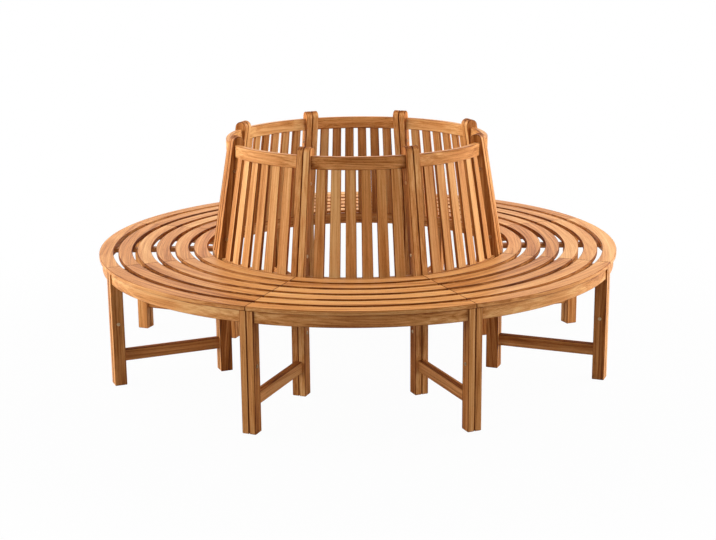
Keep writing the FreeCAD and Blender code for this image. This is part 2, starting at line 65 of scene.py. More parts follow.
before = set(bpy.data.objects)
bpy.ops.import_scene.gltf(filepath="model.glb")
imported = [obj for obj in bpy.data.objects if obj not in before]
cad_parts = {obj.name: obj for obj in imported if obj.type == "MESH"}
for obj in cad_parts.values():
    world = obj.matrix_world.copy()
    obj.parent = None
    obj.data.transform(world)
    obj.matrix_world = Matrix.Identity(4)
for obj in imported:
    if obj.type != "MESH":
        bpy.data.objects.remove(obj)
CAD_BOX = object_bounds()

SLAT_LOW, SLAT_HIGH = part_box("seat_slats_1")
APRON_LOW, APRON_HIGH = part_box("front_aprons")
LOW_RAIL_LOW, LOW_RAIL_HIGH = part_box("bottom_rails")
TOP_RAIL_LOW, TOP_RAIL_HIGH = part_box("top_rails")
STRETCHER_LOW, STRETCHER_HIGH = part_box("stretchers_1")
BATTEN_LOW, BATTEN_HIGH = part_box("seat_batten_1")
BEARER_LOW, BEARER_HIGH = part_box("seat_bearers_1")


def length(name, default, description):
    """A length property in metres."""
    return FloatProperty(
        name=name, description=description, default=default, unit="LENGTH", precision=4)


def angle(name, degrees, description):
    """An angle property, with its default given in degrees."""
    return FloatProperty(
        name=name, description=description, default=math.radians(degrees), subtype="ANGLE")


def share(name, default, description):
    """A property from 0 to 1."""
    return FloatProperty(
        name=name, description=description, default=default, min=0, max=1, subtype="FACTOR")


def power(name, default, description):
    """A lamp's power in watts."""
    return FloatProperty(name=name, description=description, default=default, unit="POWER")


def colour(name, default, description):
    """A linear colour property."""
    return FloatVectorProperty(
        name=name, description=description, default=default, subtype="COLOR", size=3, min=0, max=1)


class BenchSizes(bpy.types.PropertyGroup):
    """Sizes of the bench's boards and bolts."""

    section_count: IntProperty(
        name="Sections", description="Equal sections round the trunk", default=8, min=3)
    seam_gap: length("Leg gap", 0.0015, "Gap between the two legs, posts or stretchers of a pair")
    slat_seam: length("Seam gap", 0.0010, "Gap between the seat slats of two neighbouring sections")
    seat_radius: length("Seat radius", -SLAT_LOW.y, "Centre to the outer edge of the seat")
    seat_height: length("Seat height", SLAT_HIGH.z, "Ground to the top of the seat slats")
    frame_top: length("Frame top", SLAT_LOW.z, "Ground to the underside of the seat slats")
    overall_height: length("Overall height", CAD_BOX[1].z, "Ground to the top of the posts")
    seat_slat_count: IntProperty(
        name="Seat slats", description="Slats from the edge to the back", default=6)
    seat_slat_width: length("Seat slat width", 0.053, "Radial width of one seat slat")
    seat_slat_gap: length("Seat slat gap", 0.019, "Gap between two seat slats")
    leg_thickness: length("Leg thickness", 0.025, "Tangential thickness of a leg or post")
    leg_face: length("Leg face", 0.995, "Centre to the outer face of the outer legs")
    leg_depth: length("Leg depth", 0.045, "Radial depth of an outer leg")
    post_face: length("Post face", 0.583, "Centre to the outer face of the rear legs")
    post_depth: length("Post depth", 0.046, "Radial depth of a rear leg and its post")
    lean: angle("Lean", 9.5, "Lean of the back towards the trunk")
    apron_face: length("Apron face", 0.990, "Centre to the outer face of the apron")
    apron_thickness: length("Apron thickness", 0.022, "Radial thickness of the apron")
    apron_bottom: length("Apron bottom", APRON_LOW.z, "Ground to the underside of the apron")
    rail_thickness: length("Rail thickness", 0.022, "Radial thickness of both back rails")
    top_rail_face: length("Top rail face", 0.502, "Centre to the outer face of the top rail")
    top_rail_bottom: length("Top rail bottom", TOP_RAIL_LOW.z, "Ground to its underside")
    top_rail_top: length("Top rail top", TOP_RAIL_HIGH.z, "Ground to the top of the top rail")
    low_rail_face: length("Bottom rail face", LOW_RAIL_HIGH.x, "Centre to its outer face")
    low_rail_bottom: length("Bottom rail bottom", LOW_RAIL_LOW.z, "Ground to its underside")
    low_rail_top: length("Bottom rail top", LOW_RAIL_HIGH.z, "Ground to the top of the bottom rail")
    back_slat_count: IntProperty(
        name="Back slats", description="Back slats in one section", default=6)
    back_slat_width: length("Back slat width", 0.040, "Width of a back slat at its foot")
    back_slat_top_width: length("Back slat top width", 0.035, "Width of a back slat at its head")
    back_slat_thickness: length("Back slat thickness", 0.012, "Radial thickness of a back slat")
    back_end_gap: length("Back end gap", 0.0255, "Gap between a post and the first back slat")
    back_slat_housing: length("Housing", 0.008, "Length of a back slat inside each rail")
    bearer_thickness: length("Bearer thickness", 0.020, "Thickness of a radial seat bearer")
    bearer_bottom: length("Bearer bottom", BEARER_LOW.z, "Ground to the underside of a bearer")
    stretcher_bottom: length("Stretcher bottom", STRETCHER_LOW.z, "Ground to its underside")
    stretcher_top: length("Stretcher top", STRETCHER_HIGH.z, "Ground to the top of a stretcher")
    stretcher_thickness: length("Stretcher thickness", 0.013, "Thickness of a stretcher")
    stretcher_lap: length("Stretcher lap", 0.022, "Length of a stretcher inside leg and post")
    batten_width: length("Batten width", BATTEN_HIGH.x - BATTEN_LOW.x, "Width of the middle batten")
    batten_bottom: length("Batten bottom", BATTEN_LOW.z, "Ground to its underside")
    eased_edge: length("Eased edge", 0.0026, "Radius of the eased edges of legs, posts and rails")
    slat_edge: length("Seat slat edge", 0.0024, "Radius of the eased edges of the seat slats")
    thin_edge: length("Thin eased edge", 0.0018, "Radius of the eased edges of thin boards")
    end_edge: length("Eased end", 0.0016, "Radius of the eased ends of curved boards")
    bolt_height: length("Bolt height", 0.237, "Ground to the lower connector bolts")
    post_bolt_rise: length("Lower post bolt", 0.066, "Lower post bolt above the seat")
    post_bolt_drop: length("Upper post bolt", 0.051, "Upper post bolt below the top rail")
    bolt_head_radius: length("Bolt head", 0.0065, "Radius of a connector bolt's flat head")
    bolt_head_height: length("Bolt head height", 0.0015, "Height of that head")
    socket_radius: length("Key socket", 0.0023, "Corner radius of the six-sided key socket")
    socket_depth: length("Key socket depth", 0.0010, "Depth of the key socket")


class WoodFinish(bpy.types.PropertyGroup):
    """Colours and grain of the oiled hardwood."""

    pale_wood: colour("Pale wood", (0.80, 0.465, 0.190), "Palest early wood")
    middle_wood: colour("Middle wood", (0.595, 0.255, 0.078), "Most of the wood")
    brown_wood: colour("Brown wood", (0.32, 0.099, 0.018), "Heavy streaks")
    dark_wood: colour("Dark wood", (0.100, 0.024, 0.006), "Darkest late wood and pores")
    ring_spacing: length("Ring spacing", 0.0085, "Distance between two growth rings")
    ring_depth: share("Ring strength", 0.13, "How dark the late wood lines are")
    streak_depth: share("Streak strength", 0.34, "How much fine streaks vary across a board")
    band_depth: share("Band strength", 0.36, "How much broad bands vary across a board")
    # Painted shade: darkens the eased edges of every board.
    painted_edge_shade: share("Edge darkening", 0.36, "How much darker the eased edges are, where oil soaks in")
    # Painted shade: darkens the narrow sides of slats and stretchers and the flanks of legs and posts,
    # where shade falls between parts.
    painted_side_shade: share("Side darkening", 0.34, "How much darker narrow sides and the legs' flanks are")
    tone_spread: share("Board spread", 0.11, "How much one board differs in darkness from the next")
    batch: IntProperty(name="Batch", description="Draw of boards from the timber stack", default=6838)
    sheen_roughness: share("Roughness", 0.40, "Roughness of the oiled faces")
    sheen_strength: share("Sheen strength", 0.15, "How strongly the oiled surface reflects the room")


class StudioSet(bpy.types.PropertyGroup):
    """Camera, lamps and floor of the studio."""

    camera_distance: length("Camera distance", 5.439, "Trunk's middle to the camera, along the floor")
    camera_height: length("Camera height", 1.726, "Floor to the camera")
    camera_heading: angle("Heading", -0.534, "Turn of the camera round the bench")
    camera_tilt: angle("Tilt", 14.369, "Camera's tilt down")
    camera_roll: angle("Roll", -0.509, "Camera's roll about its own axis")
    lens: FloatProperty(name="Lens", description="Focal length in millimetres", default=71.54)
    sensor_width: FloatProperty(
        name="Sensor", description="Width of the camera's sensor in millimetres", default=36)
    floor_colour: colour("Floor", (0.42, 0.42, 0.42), "Colour of the pale floor")
    floor_glow: share("Floor glow", 0.97, "Share of plain white in the floor that the camera sees")
    room_light: FloatProperty(
        name="Room light", description="Strength of the room's soft light", default=0.02)
    room_front: share("Front of the room", 0.50, "Light of the room's front against that of its back")
    side_lamp: power("Side lamps", 208, "Power of each side lamp")
    top_lamp: power("Top lamps", 42, "Power of each lamp overhead")
    rim_lamp: power("Rim lamps", 80, "Power of each lamp behind")
    front_lamp: power("Front lamp", 37, "Power of the front fill")


# Edges that turn more than the first angle are eased, and the strips of an eased edge turn more than
# the second. Corners flatter than the third are dissolved.
SHARP_CORNER = math.radians(40)
ROUNDED_CORNER = math.radians(22)
FLAT_CORNER = math.radians(0.5)
EASE_SEGMENTS = 3

# Length of one step of a curved board, its overrun before its ends are cut, and steps of a post's top.
ARC_STEP = math.radians(1.5)
OVERRUN = 1.1
ROUND_STEPS = 16

# Corners nearer than the first distance are one, and those within the second are at one height.
MERGE_DISTANCE = 1e-5
SAME_HEIGHT = 1e-4

# The two sides of a seam.
SIDES = (1, -1)


def section_numbers(sizes):
    """The numbers of the sections, each of which is that of the seam after it too."""
    return range(1, sizes.section_count + 1)


def section_frame(sizes, number):
    """Turn from a section's own frame to the bench's."""
    return Matrix.Rotation(math.tau * (number - 1) / sizes.section_count - math.pi / 2, 4, "Z")


def seam_frame(sizes, number):
    """Turn from a seam's own frame to the bench's."""
    return Matrix.Rotation(math.tau * (number - 0.5) / sizes.section_count - math.pi / 2, 4, "Z")


def half_turn(sizes):
    """Angle from the middle of a section to its seam."""
    return math.pi / sizes.section_count


def flank_distance(sizes):
    """Distance from a seam to the far flank of the leg or post beside it."""
    return sizes.seam_gap / 2 + sizes.leg_thickness


def back_line(sizes, height):
    """Radius of the middle of the leaning back at a height above the seat frame."""
    return sizes.post_face - sizes.post_depth / 2 - (height - sizes.frame_top) * math.tan(sizes.lean)


def sharp_edges(board, least=SHARP_CORNER):
    """The edges where a board turns by more than the least angle."""
    return [edge for edge in board.edges if edge.is_manifold and edge.calc_face_angle() > least]


def ease(board, radius):
    """Round every sharp edge of a board over."""
    bmesh.ops.bevel(
        board, geom=sharp_edges(board), offset=radius, offset_type="OFFSET", segments=EASE_SEGMENTS,
        profile=0.5, affect="EDGES", clamp_overlap=True, material=-1)


def fill_ends(board):
    """Close every open end of a board."""
    bmesh.ops.holes_fill(board, edges=[edge for edge in board.edges if edge.is_boundary], sides=0)


def extent(points, axis):
    """How far some points reach along an axis."""
    reach = [point[axis] for point in points]
    return max(reach) - min(reach)


def pulled_out(shape, edges):
    """The new corners and edges of walls that are extruded from a ring of edges."""
    made = bmesh.ops.extrude_edge_only(shape, edges=edges)["geom"]
    return ([item for item in made if isinstance(item, bmesh.types.BMVert)],
            [item for item in made if isinstance(item, bmesh.types.BMEdge)])


def join(whole, part, place):
    """Put a part in place and move it into a larger shape."""
    bmesh.ops.transform(part, matrix=place, verts=part.verts)
    mesh = bpy.data.meshes.new("part")
    part.to_mesh(mesh)
    part.free()
    whole.from_mesh(mesh)
    bpy.data.meshes.remove(mesh)


def straight_board(low, high, radius):
    """A planed board with eased edges between two opposite corners."""
    board = bmesh.new()
    bmesh.ops.create_cube(board, size=1)
    bmesh.ops.scale(board, vec=high - low, verts=board.verts)
    bmesh.ops.translate(board, vec=(low + high) / 2, verts=board.verts)
    ease(board, radius)
    return board


def curved_board(sizes, outer, inner, bottom, top, inset, radius):
    """A board curved about the trunk, with its ends cut parallel to the seams and inset from them."""
    board = bmesh.new()
    start = -half_turn(sizes) * OVERRUN
    corners = [board.verts.new(place) for place in
               ((inner, 0, bottom), (outer, 0, bottom), (outer, 0, top), (inner, 0, top))]
    board.faces.new(corners)
    bmesh.ops.bevel(
        board, geom=corners, offset=radius, offset_type="OFFSET", segments=EASE_SEGMENTS, profile=0.5,
        affect="VERTICES", clamp_overlap=True, material=-1)
    bmesh.ops.delete(board, geom=board.faces[:], context="FACES_ONLY")
    bmesh.ops.rotate(board, cent=(0, 0, 0), matrix=Matrix.Rotation(start, 3, "Z"), verts=board.verts)
    steps = math.ceil(-2 * start / ARC_STEP)
    bmesh.ops.spin(
        board, geom=board.verts[:] + board.edges[:], cent=(0, 0, 0), axis=(0, 0, 1), angle=-2 * start,
        steps=steps)
    for side in SIDES:
        outward = Vector((-math.sin(half_turn(sizes)), side * math.cos(half_turn(sizes)), 0))
        bmesh.ops.bisect_plane(
            board, geom=board.verts[:] + board.edges[:] + board.faces[:], plane_co=outward * -inset,
            plane_no=outward, clear_outer=True)
    fill_ends(board)
    bmesh.ops.recalc_face_normals(board, faces=board.faces)
    ease(board, sizes.end_edge)
    return board


def post_board(sizes, side):
    """A rear leg that leans back above the seat frame and ends in a half-round."""
    near = side * sizes.seam_gap / 2
    far = near + side * sizes.leg_thickness
    back = sizes.post_face - sizes.post_depth
    round_radius = sizes.post_depth / 2 * math.cos(sizes.lean)
    middle_height = sizes.overall_height - round_radius
    middle = Vector((back_line(sizes, middle_height), 0, middle_height))
    across = Vector((math.cos(sizes.lean), 0, math.sin(sizes.lean))) * round_radius
    board = bmesh.new()
    foot = [board.verts.new(place) for place in
            ((back, near, 0), (sizes.post_face, near, 0), (sizes.post_face, far, 0), (back, far, 0))]
    sections = [board.faces.new(foot)]
    for front_end, back_end in (
            (Vector((sizes.post_face, 0, sizes.frame_top)), Vector((back, 0, sizes.frame_top))),
            (middle + across, middle - across)):
        raised = bmesh.ops.extrude_face_region(board, geom=[sections[-1]])["geom"]
        sections.append(next(item for item in raised if isinstance(item, bmesh.types.BMFace)))
        corners = sorted(sections[-1].verts, key=lambda corner: corner.co.x)
        for corner, end in zip(corners, (back_end, back_end, front_end, front_end)):
            corner.co = Vector((end.x, corner.co.y, end.z))
    front_edge = next(edge for edge in sections[-1].edges
                      if all((corner.co - middle).dot(across) > 0 for corner in edge.verts))
    bmesh.ops.delete(board, geom=sections[1:], context="FACES_ONLY")
    bmesh.ops.spin(
        board, geom=[front_edge] + list(front_edge.verts), cent=middle, axis=(0, -1, 0), angle=math.pi,
        steps=ROUND_STEPS)
    bmesh.ops.remove_doubles(board, verts=board.verts, dist=MERGE_DISTANCE)
    fill_ends(board)
    bmesh.ops.dissolve_limit(board, angle_limit=FLAT_CORNER, verts=board.verts, edges=board.edges)
    bmesh.ops.recalc_face_normals(board, faces=board.faces)
    ease(board, sizes.eased_edge)
    return board


def back_slat_board(sizes):
    """One leaning back slat, narrower at its head, standing on the middle line of a section."""
    foot = sizes.low_rail_top - sizes.back_slat_housing
    head = sizes.top_rail_bottom + sizes.back_slat_housing
    board = bmesh.new()
    bmesh.ops.create_cube(board, size=1)
    bmesh.ops.scale(
        board, vec=(sizes.back_slat_thickness, sizes.back_slat_width, head - foot), verts=board.verts)
    bmesh.ops.translate(board, vec=(0, 0, (head + foot) / 2), verts=board.verts)
    for height, width in ((foot, sizes.back_slat_width), (head, sizes.back_slat_top_width)):
        corners = [corner for corner in board.verts if abs(corner.co.z - height) < SAME_HEIGHT]
        bmesh.ops.scale(board, vec=(1, width / sizes.back_slat_width, 1), verts=corners)
        bmesh.ops.translate(board, vec=(back_line(sizes, height), 0, 0), verts=corners)
    ease(board, sizes.thin_edge)
    return board


# Axes of a board's own frame, with the one that its grain follows first.
GRAIN_ORDER = {"X": (0, 1, 2), "Y": (1, 0, 2), "Z": (2, 0, 1)}

# Where a board is cut from its log: most tilt in degrees, distances from the pith, and reach along it.
GRAIN_TILT = 1.1
PITH_DISTANCES = (0.03, 0.13)
LOG_REACH = 40

# How much the tones of boards differ, and the most that one may.
TONE_DEVIATION = 0.75
TONE_LIMIT = 1.2

# Tones of whole boards against the seat's. The paler tones of legs, posts, rails and back slats are
# partly painted light, for the light that their upright and leaning faces catch. The flank value is
# painted shade on the flanks of legs and posts.
LEG_SHADE = -0.25
POST_SHADE = -0.4
RAIL_SHADE = -0.2
BACK_SLAT_SHADE = -0.5
PAINTED_FLANK_SHADE = 0.6

# How far the grain of a curved board follows it round the trunk.
CURVED_GRAIN = 0.5


def board_layers(mesh):
    """The attributes that the wood reads, made where they are missing.

    Corners carry their place in the log, the board's own tone and whether they are eased. Faces carry
    how squarely they cut the grain, and how much painted shade darkens them as a side or flank.
    """
    corners, faces = mesh.verts.layers, mesh.faces.layers
    return [layers.get(name) or layers.new(name) for layers, name in (
        (corners.float_vector, "grain"), (corners.float, "tone"), (corners.float, "eased"),
        (faces.float, "end_grain"), (faces.float, "side"))]


class BoardStack:
    """The boards of one piece, each given its own stretch of grain before it is put in place."""

    def __init__(self, name, batch):
        self.name = name
        self.batch = batch
        self.mesh = bmesh.new()
        self.count = 0
        board_layers(self.mesh)

    def add(self, board, place, along, shade=0.0, side=0.0, flank=0.0, lean=0.0, bend=0.0):
        """Give a board its grain along one axis of its own frame, then put it in place.

        A higher shade makes the whole board darker; a higher side lays painted shade on its narrow
        sides, and a higher flank on its broad ones. The grain leans back by the angle lean, and follows
        the board round the trunk by the share bend.
        """
        self.count += 1
        chance = random.Random(f"{self.name} {self.count} {self.batch}")
        grain, tone, eased, end_grain, darker = board_layers(board)
        order = GRAIN_ORDER[along]
        upright = Matrix.Rotation(lean, 3, "Y")
        points = []
        for corner in board.verts:
            radius = math.hypot(corner.co.x, corner.co.y)
            bent = Vector((radius, radius * math.atan2(corner.co.y, corner.co.x), corner.co.z))
            point = upright @ corner.co.lerp(bent, bend)
            points.append(Vector([point[axis] for axis in order]))
        slimmest, widest = sorted(order[1:], key=lambda axis: extent(points, order.index(axis)))
        middle = sum(points, Vector()) / len(points)
        tilt = Matrix.Rotation(math.radians(chance.uniform(-GRAIN_TILT, GRAIN_TILT)), 3, "Y")
        tilt = tilt @ Matrix.Rotation(math.radians(chance.uniform(-GRAIN_TILT, GRAIN_TILT)), 3, "Z")
        around = chance.uniform(0, math.tau)
        from_pith = chance.uniform(*PITH_DISTANCES)
        in_log = Vector((
            chance.uniform(-LOG_REACH, LOG_REACH),
            math.cos(around) * from_pith,
            math.sin(around) * from_pith))
        own_tone = shade + max(-TONE_LIMIT, min(TONE_LIMIT, chance.gauss(0, TONE_DEVIATION)))
        rounded = {face for edge in sharp_edges(board, ROUNDED_CORNER) for face in edge.link_faces}
        for corner, point in zip(board.verts, points):
            corner[grain] = tilt @ (point - middle) + in_log
            corner[tone] = own_tone
            corner[eased] = float(rounded.issuperset(corner.link_faces))
        for face in board.faces:
            face[end_grain] = abs(face.normal[order[0]])
            turned = upright @ face.normal
            # Painted shade on the narrow sides and broad flanks.
            face[darker] = side * abs(turned[widest]) + flank * abs(turned[slimmest])
        join(self.mesh, board, place)

    def finish(self, material, node):
        """Turn the boards into the piece that stands for a node."""
        show_piece(self.name, self.mesh, material, node)


def show_piece(name, shape, material, node):
    """Make an object of a finished shape, which stands for a node and rides on the bench."""
    mesh = bpy.data.meshes.new(name)
    shape.to_mesh(mesh)
    shape.free()
    mesh.shade_smooth()
    mesh.materials.append(material)
    piece = bpy.data.objects.new(name, mesh)
    bpy.context.scene.collection.objects.link(piece)
    normals = piece.modifiers.new("Flat faces", "WEIGHTED_NORMAL")
    normals.mode = "FACE_AREA"
    normals.weight = 100
    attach(piece, "root")
    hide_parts(node)


def add_node(tree, kind, inputs=(), **settings):
    """A shader node with its settings, and its inputs linked or set."""
    node = tree.nodes.new(kind)
    for name, setting in settings.items():
        setattr(node, name, setting)
    for name, source in dict(inputs).items():
        if isinstance(source, bpy.types.NodeSocket):
            tree.links.new(source, node.inputs[name])
        else:
            node.inputs[name].default_value = source
    return node


def math_node(tree, operation, first, second=0.0):
    """The result of one sum."""
    return add_node(tree, "ShaderNodeMath", {0: first, 1: second}, operation=operation).outputs[0]


def vector_node(tree, operation, first, second=(0.0, 0.0, 0.0)):
    """The result of one sum of vectors."""
    node = add_node(tree, "ShaderNodeVectorMath", {0: first, 1: second}, operation=operation)
    return node.outputs["Value" if operation == "LENGTH" else "Vector"]


def weighted_sum(tree, total, parts):
    """A total to which each part is added by its own weight."""
    for part, weight in parts:
        total = math_node(tree, "ADD", total, math_node(tree, "MULTIPLY", part, weight))
    return total


def attribute(tree, name, output="Fac"):
    """One of the attributes that the boards carry."""
    return add_node(tree, "ShaderNodeAttribute", attribute_name=name).outputs[output]


def stretched_noise(tree, vector, stretch, detail, output="Fac"):
    """Noise that is drawn out along the grain: waves per metre along and across it."""
    scaled = vector_node(tree, "MULTIPLY", vector, stretch)
    noise = add_node(
        tree, "ShaderNodeTexNoise", {"Vector": scaled, "Scale": 1.0, "Detail": detail})
    return noise.outputs[output]


def ranged(tree, value, low, high, to_low=0.0, to_high=1.0):
    """A value taken from one range smoothly to another."""
    node = add_node(
        tree, "ShaderNodeMapRange",
        {"Value": value, "From Min": low, "From Max": high, "To Min": to_low, "To Max": to_high},
        interpolation_type="SMOOTHSTEP")
    return node.outputs["Result"]


# Noises of the wood: waves per metre along the grain and both ways across it, and detail.
WANDER_NOISE = ((1.6, 7, 7), 2.0)
SPACING_NOISE = ((0.7, 38, 38), 1.0)
PATCH_NOISE = ((2.0, 45, 45), 1.0)
STREAK_NOISE = ((0.9, 110, 110), 3.0)
BAND_NOISE = ((0.7, 34, 34), 2.0)
FIBRE_NOISE = ((6, 330, 330), 3.0)
PORE_NOISE = ((70, 1700, 1700), 1.0)
NOISE_MIDDLE = 0.5

# How far the rings wander across the log, and by how many rings their spacing is uneven.
RING_WANDER = 0.03
RING_UNEVENNESS = 2.6

# The parts of a ring over which late wood sets in and ends. Its patches run over the first two numbers
# of their noise and leave it a share between the last two, and pores open over two of theirs.
LATE_WOOD_START = (0.20, 0.88)
LATE_WOOD_END = (0.90, 1.0)
LATE_WOOD_PATCHES = (0.35, 0.60, 0.25, 1.0)
PORE_OPENING = (0.60, 0.70)

# How much each part darkens the wood. Noise keeps near its middle, so that of streaks and bands is
# spread further. End grain darkens over two values of how squarely a face cuts the grain.
BASE_DARKNESS = 0.36
NOISE_SPREAD = 2.2
FIBRE_DARKNESS = 0.7
PORE_DARKNESS = 0.22
END_DARKNESS = 0.40
END_DARKENING = (0.35, 0.90)

# Where the middle and the brown wood lie between the palest and the darkest.
MIDDLE_STOP = 0.38
BROWN_STOP = 0.72

# How much each part roughens the wood, with end grain again over two values.
FIBRE_ROUGHNESS = 0.10
PORE_ROUGHNESS = 0.15
END_ROUGHNESS = 0.18
END_ROUGHENING = (0.6, 0.95)
SIDE_ROUGHNESS = 0.25

# How each part stands out or lies back, and the height of the whole relief.
FIBRE_RELIEF = 0.6
PORE_RELIEF = -0.5
LATE_WOOD_RELIEF = -0.15
RELIEF_STRENGTH = 0.35
RELIEF_HEIGHT = 0.0004

# Both tints of the zinc, the size of its clouds, and its roughness over them.
PALE_ZINC = (0.92, 0.72, 0.44, 1)
DARK_ZINC = (0.72, 0.54, 0.31, 1)
CLOUD_SCALE = 900.0
CLOUD_DETAIL = 3.0
ZINC_ROUGHNESS = (0.3, 0.7, 0.26, 0.42)


def ring_shape(tree, grain, moved, wood):
    """How much of the late wood of the growth rings lies at a place in the log."""
    radius = vector_node(tree, "LENGTH", vector_node(tree, "MULTIPLY", moved, (0.0, 1.0, 1.0)))
    uneven = stretched_noise(tree, grain, *SPACING_NOISE)
    rings = math_node(tree, "ADD", math_node(tree, "DIVIDE", radius, wood.ring_spacing),
                      math_node(tree, "MULTIPLY", uneven, RING_UNEVENNESS))
    phase = math_node(tree, "FRACT", rings)
    start = ranged(tree, phase, *LATE_WOOD_START)
    end = ranged(tree, phase, *LATE_WOOD_END)
    patchy = ranged(tree, stretched_noise(tree, grain, *PATCH_NOISE), *LATE_WOOD_PATCHES)
    return math_node(tree, "MULTIPLY", math_node(tree, "SUBTRACT", start, end), patchy)


def wood_material(name, wood):
    """Oiled hardwood: growth rings, streaks, fibres and pores that follow each board's own grain."""
    material = bpy.data.materials.get(name)
    if material:
        return material
    material = bpy.data.materials.new(name)
    material.use_nodes = True
    tree = material.node_tree
    shader = tree.nodes["Principled BSDF"]
    grain = attribute(tree, "grain", "Vector")
    tone = attribute(tree, "tone")
    end_grain = attribute(tree, "end_grain")
    eased = attribute(tree, "eased")
    # The share of painted shade on sides and flanks; it also roughens them.
    side = attribute(tree, "side")

    wander = stretched_noise(tree, grain, *WANDER_NOISE, "Color")
    centred = vector_node(tree, "SUBTRACT", wander, (NOISE_MIDDLE,) * 3)
    offset = vector_node(tree, "MULTIPLY", centred, (0.0, RING_WANDER, RING_WANDER))
    moved = vector_node(tree, "ADD", grain, offset)
    late_wood = ring_shape(tree, grain, moved, wood)
    streak = stretched_noise(tree, moved, *STREAK_NOISE)
    band = stretched_noise(tree, moved, *BAND_NOISE)
    fibre = stretched_noise(tree, grain, *FIBRE_NOISE)
    pore = ranged(tree, stretched_noise(tree, grain, *PORE_NOISE), *PORE_OPENING)

    darkness = weighted_sum(tree, math_node(tree, "MULTIPLY", tone, wood.tone_spread), (
        (math_node(tree, "SUBTRACT", streak, NOISE_MIDDLE), NOISE_SPREAD * wood.streak_depth),
        (math_node(tree, "SUBTRACT", band, NOISE_MIDDLE), NOISE_SPREAD * wood.band_depth),
        (math_node(tree, "SUBTRACT", fibre, NOISE_MIDDLE), FIBRE_DARKNESS),
        (late_wood, wood.ring_depth),
        (pore, PORE_DARKNESS),
        # Painted shade on the eased edges.
        (eased, wood.painted_edge_shade),
        # Painted shade on narrow sides and flanks.
        (side, wood.painted_side_shade),
        (ranged(tree, end_grain, *END_DARKENING), END_DARKNESS)))
    ramp = add_node(
        tree, "ShaderNodeValToRGB", {0: math_node(tree, "ADD", darkness, BASE_DARKNESS)})
    stops = ramp.color_ramp.elements
    stops[0].position, stops[0].color = 0.0, (*wood.pale_wood, 1)
    stops[1].position, stops[1].color = 1.0, (*wood.dark_wood, 1)
    stops.new(MIDDLE_STOP).color = (*wood.middle_wood, 1)
    stops.new(BROWN_STOP).color = (*wood.brown_wood, 1)
    tree.links.new(ramp.outputs[0], shader.inputs["Base Color"])

    rough = weighted_sum(tree, wood.sheen_roughness - FIBRE_ROUGHNESS * NOISE_MIDDLE, (
        (fibre, FIBRE_ROUGHNESS),
        (pore, PORE_ROUGHNESS),
        (ranged(tree, end_grain, *END_ROUGHENING), END_ROUGHNESS),
        (side, SIDE_ROUGHNESS)))
    tree.links.new(rough, shader.inputs["Roughness"])
    shader.inputs["Specular IOR Level"].default_value = wood.sheen_strength
    relief = weighted_sum(tree, 0.0, (
        (fibre, FIBRE_RELIEF), (pore, PORE_RELIEF), (late_wood, LATE_WOOD_RELIEF)))
    bump = add_node(tree, "ShaderNodeBump", {
        "Strength": RELIEF_STRENGTH, "Distance": RELIEF_HEIGHT, "Height": relief})
    tree.links.new(bump.outputs[0], shader.inputs["Normal"])
    return material


def zinc_material():
    """Zinc-plated steel of the connector bolts."""
    material = bpy.data.materials.get("zinc plate")
    if material:
        return material
    material = bpy.data.materials.new("zinc plate")
    material.use_nodes = True
    tree = material.node_tree
    shader = tree.nodes["Principled BSDF"]
    shader.inputs["Metallic"].default_value = 1.0
    places = add_node(tree, "ShaderNodeTexCoord").outputs["Object"]
    cloud = add_node(tree, "ShaderNodeTexNoise", {
        "Vector": places, "Scale": CLOUD_SCALE, "Detail": CLOUD_DETAIL}).outputs["Fac"]
    # The colour sockets of this node come after those for numbers and vectors.
    tint = add_node(
        tree, "ShaderNodeMix", {0: cloud, 6: PALE_ZINC, 7: DARK_ZINC}, data_type="RGBA").outputs[2]
    tree.links.new(tint, shader.inputs["Base Color"])
    tree.links.new(ranged(tree, cloud, *ZINC_ROUGHNESS), shader.inputs["Roughness"])
    return material


def paired_boards(scene, names, along, radii, flanks, heights, edge, **looks):
    """Two straight boards at every seam, one on each side of it.

    They reach from one radius to another and from one height to another, and their flanks lie at two
    distances from the seam. The names are those of the piece and of its node, without the number.
    """
    wood = wood_material("frame wood", scene.bench_wood)
    for number in section_numbers(scene.bench_sizes):
        stack = BoardStack(f"{names[0]}_{number}", scene.bench_wood.batch)
        for side in SIDES:
            left, right = sorted(side * flank for flank in flanks)
            low = Vector((radii[0], left, heights[0]))
            high = Vector((radii[1], right, heights[1]))
            stack.add(
                straight_board(low, high, edge), seam_frame(scene.bench_sizes, number), along, **looks)
        stack.finish(wood, f"{names[1]}_{number}")


def ring_of_boards(scene, name, node, face, thickness, bottom, top, shade=0.0):
    """A curved board between the legs or posts of every section, all of them in one piece."""
    sizes = scene.bench_sizes
    stack = BoardStack(name, scene.bench_wood.batch)
    for number in section_numbers(sizes):
        board = curved_board(
            sizes, face, face - thickness, bottom, top, flank_distance(sizes), sizes.eased_edge)
        stack.add(board, section_frame(sizes, number), "Y", shade=shade, bend=CURVED_GRAIN)
    stack.finish(wood_material("frame wood", scene.bench_wood), node)


class BENCH_OT_outer_legs(bpy.types.Operator):
    """Model the two outer legs that stand side by side at every seam"""

    bl_idname = "bench.outer_legs"
    bl_label = "Outer legs"

    def execute(self, context):
        sizes = context.scene.bench_sizes
        # A paler tone that is partly painted light, and painted shade on the flanks.
        paired_boards(
            context.scene, ("leg_pair", "outer_legs"), "Z",
            radii=(sizes.leg_face - sizes.leg_depth, sizes.leg_face),
            flanks=(sizes.seam_gap / 2, flank_distance(sizes)),
            heights=(0, sizes.frame_top), edge=sizes.eased_edge, shade=LEG_SHADE, flank=PAINTED_FLANK_SHADE)
        return {"FINISHED"}


